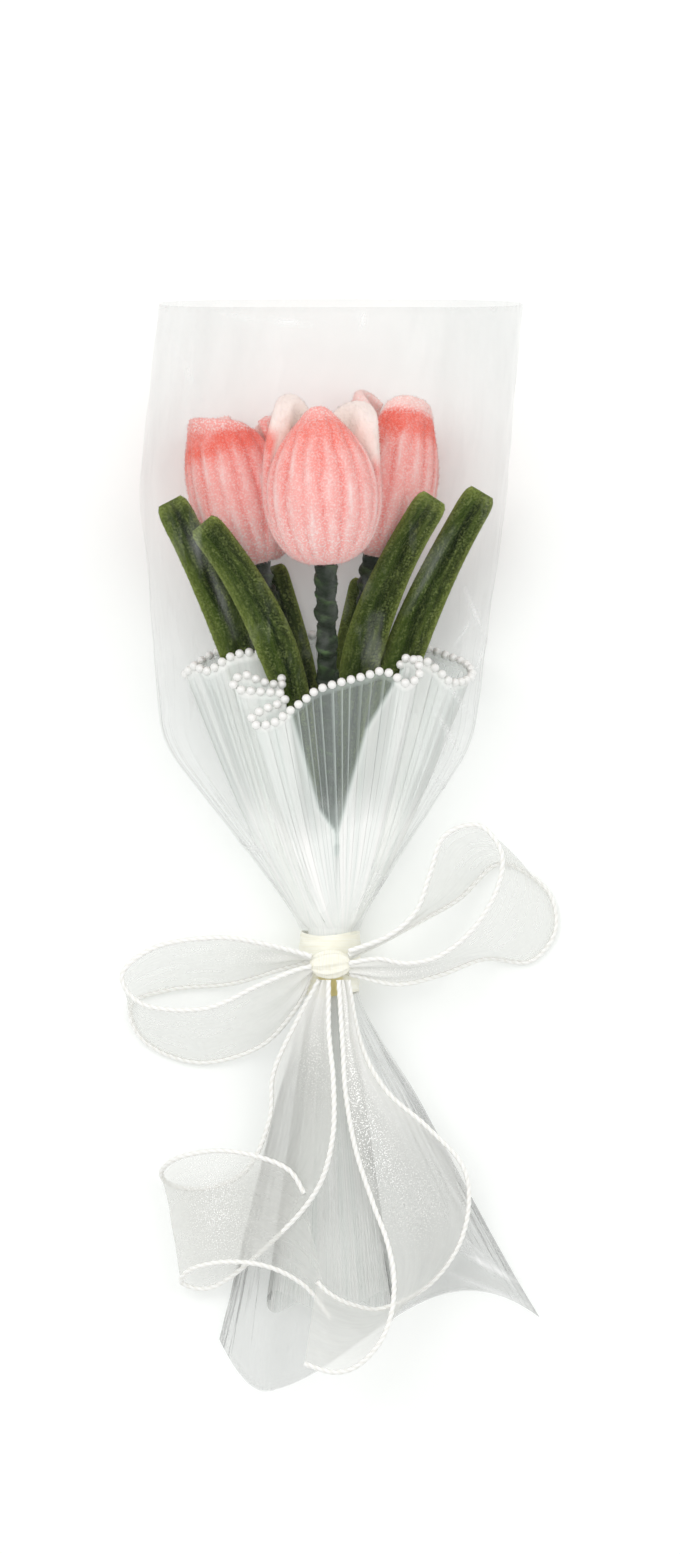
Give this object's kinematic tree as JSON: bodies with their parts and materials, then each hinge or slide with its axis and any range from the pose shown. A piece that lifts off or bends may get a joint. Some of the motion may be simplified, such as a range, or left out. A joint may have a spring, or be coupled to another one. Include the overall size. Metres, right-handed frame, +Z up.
{
  "type": "artificial flower bouquet",
  "caption": "Gift bouquet of velvet chenille tulips with bendable leaves in a clear film sleeve, with a pearl-edged organza collar and a corded ribbon bow, lying flat.",
  "frame": {"origin": "on the table under the middle of the bouquet's outline", "axes": "+X to the right, +Y along the stems towards the flowers, +Z up from the table"},
  "size_m": [0.1575, 0.3924, 0.0838],
  "materials": {
    "petal_pile": "velvet chenille pile",
    "inner_petal_pile": "velvet chenille pile",
    "leaf_pile": "velvet chenille pile",
    "stem_wire": "bare wire",
    "floral_tape": "waxed crepe tape",
    "organza": "sheer pleated organza",
    "pearl": "pearl lustre",
    "clear_film": "clear glossy film",
    "tie_band": "satin ribbon",
    "ribbon": "sheer ribbon with corded edges"
  },
  "bodies": {
    "bouquet": {"left_stem_wire": "stem_wire", "front_stem_wire": "stem_wire", "right_stem_wire": "stem_wire", "left_stem_tape": "floral_tape", "front_stem_tape": "floral_tape", "right_stem_tape": "floral_tape", "organza_collar": "organza", "pearl_string": "pearl", "film_sleeve": "clear_film", "tie_band": "tie_band", "bow_knot": "ribbon"},
    "left_head": {"left_outer_petal_1": "petal_pile", "left_outer_petal_2": "petal_pile", "left_outer_petal_3": "petal_pile", "left_inner_petal_1": "inner_petal_pile", "left_inner_petal_2": "inner_petal_pile", "left_inner_petal_3": "inner_petal_pile"},
    "front_head": {"front_outer_petal_1": "petal_pile", "front_outer_petal_2": "petal_pile", "front_outer_petal_3": "petal_pile", "front_inner_petal_1": "inner_petal_pile", "front_inner_petal_2": "inner_petal_pile", "front_inner_petal_3": "inner_petal_pile"},
    "right_head": {"right_outer_petal_1": "petal_pile", "right_outer_petal_2": "petal_pile", "right_outer_petal_3": "petal_pile", "right_inner_petal_1": "inner_petal_pile", "right_inner_petal_2": "inner_petal_pile", "right_inner_petal_3": "inner_petal_pile"},
    "left_side_leaf": {"left_side_leaf": "leaf_pile"},
    "left_back_leaf": {"left_back_leaf": "leaf_pile"},
    "front_left_leaf": {"front_left_leaf": "leaf_pile"},
    "front_right_leaf": {"front_right_leaf": "leaf_pile"},
    "right_side_leaf": {"right_side_leaf": "leaf_pile"},
    "right_back_leaf": {"right_back_leaf": "leaf_pile"},
    "left_loop": {"left_loop": "ribbon"},
    "right_loop": {"right_loop": "ribbon"},
    "left_tail": {"left_tail": "ribbon"},
    "right_tail": {"right_tail": "ribbon"}
  },
  "joints": [
    {"name": "left_head_nod", "type": "hinge", "parent": "bouquet", "child": "left_head", "pos_m": [-0.02921, 0.10521, 0.019], "axis": [0, 0, 1], "range_deg": [0, 7]},
    {"name": "front_head_nod", "type": "hinge", "parent": "bouquet", "child": "front_head", "pos_m": [-0.00477, 0.1047, 0.05305], "axis": [1, 0, 0], "range_deg": [0, 5]},
    {"name": "right_head_nod", "type": "hinge", "parent": "bouquet", "child": "right_head", "pos_m": [0.01224, 0.10788, 0.019], "axis": [0, 0, -1], "range_deg": [0, 7]},
    {"name": "left_side_leaf_bend", "type": "hinge", "parent": "bouquet", "child": "left_side_leaf", "pos_m": [-0.0171, 0.00771, 0.01207], "axis": [0.9872, 0.1594, 0], "range_deg": [0, 3]},
    {"name": "left_back_leaf_bend", "type": "hinge", "parent": "bouquet", "child": "left_back_leaf", "pos_m": [-0.0094, 0.00771, 0.00657], "axis": [0.9995, 0.0329, 0], "range_deg": [0, 2]},
    {"name": "front_left_leaf_bend", "type": "hinge", "parent": "bouquet", "child": "front_left_leaf", "pos_m": [-0.01107, 0.00771, 0.0215], "axis": [0.9999, -0.0108, 0], "range_deg": [0, 8]},
    {"name": "front_right_leaf_bend", "type": "hinge", "parent": "bouquet", "child": "front_right_leaf", "pos_m": [0.00432, 0.00771, 0.0215], "axis": [0.9905, 0.1372, 0], "range_deg": [0, 3]},
    {"name": "right_side_leaf_bend", "type": "hinge", "parent": "bouquet", "child": "right_side_leaf", "pos_m": [0.00941, 0.00836, 0.01207], "axis": [0.9979, -0.0654, 0], "range_deg": [0, 3]},
    {"name": "right_back_leaf_bend", "type": "hinge", "parent": "bouquet", "child": "right_back_leaf", "pos_m": [0.0017, 0.00836, 0.00657], "axis": [0.9999, 0.0127, 0], "range_deg": [0, 2]},
    {"name": "left_loop_swing", "type": "hinge", "parent": "bouquet", "child": "left_loop", "pos_m": [-0.00317, -0.041, 0.02827], "axis": [0, 0, 1], "range_deg": [-4, 4]},
    {"name": "right_loop_swing", "type": "hinge", "parent": "bouquet", "child": "right_loop", "pos_m": [-0.00317, -0.041, 0.02827], "axis": [0, 0, 1], "range_deg": [-7, 0]},
    {"name": "left_tail_swing", "type": "hinge", "parent": "bouquet", "child": "left_tail", "pos_m": [-0.00317, -0.041, 0.02827], "axis": [0, 0, 1], "range_deg": [-6, 0]},
    {"name": "right_tail_swing", "type": "hinge", "parent": "bouquet", "child": "right_tail", "pos_m": [-0.00317, -0.041, 0.02827], "axis": [0, 0, 1], "range_deg": [-2, 4]}
  ]
}
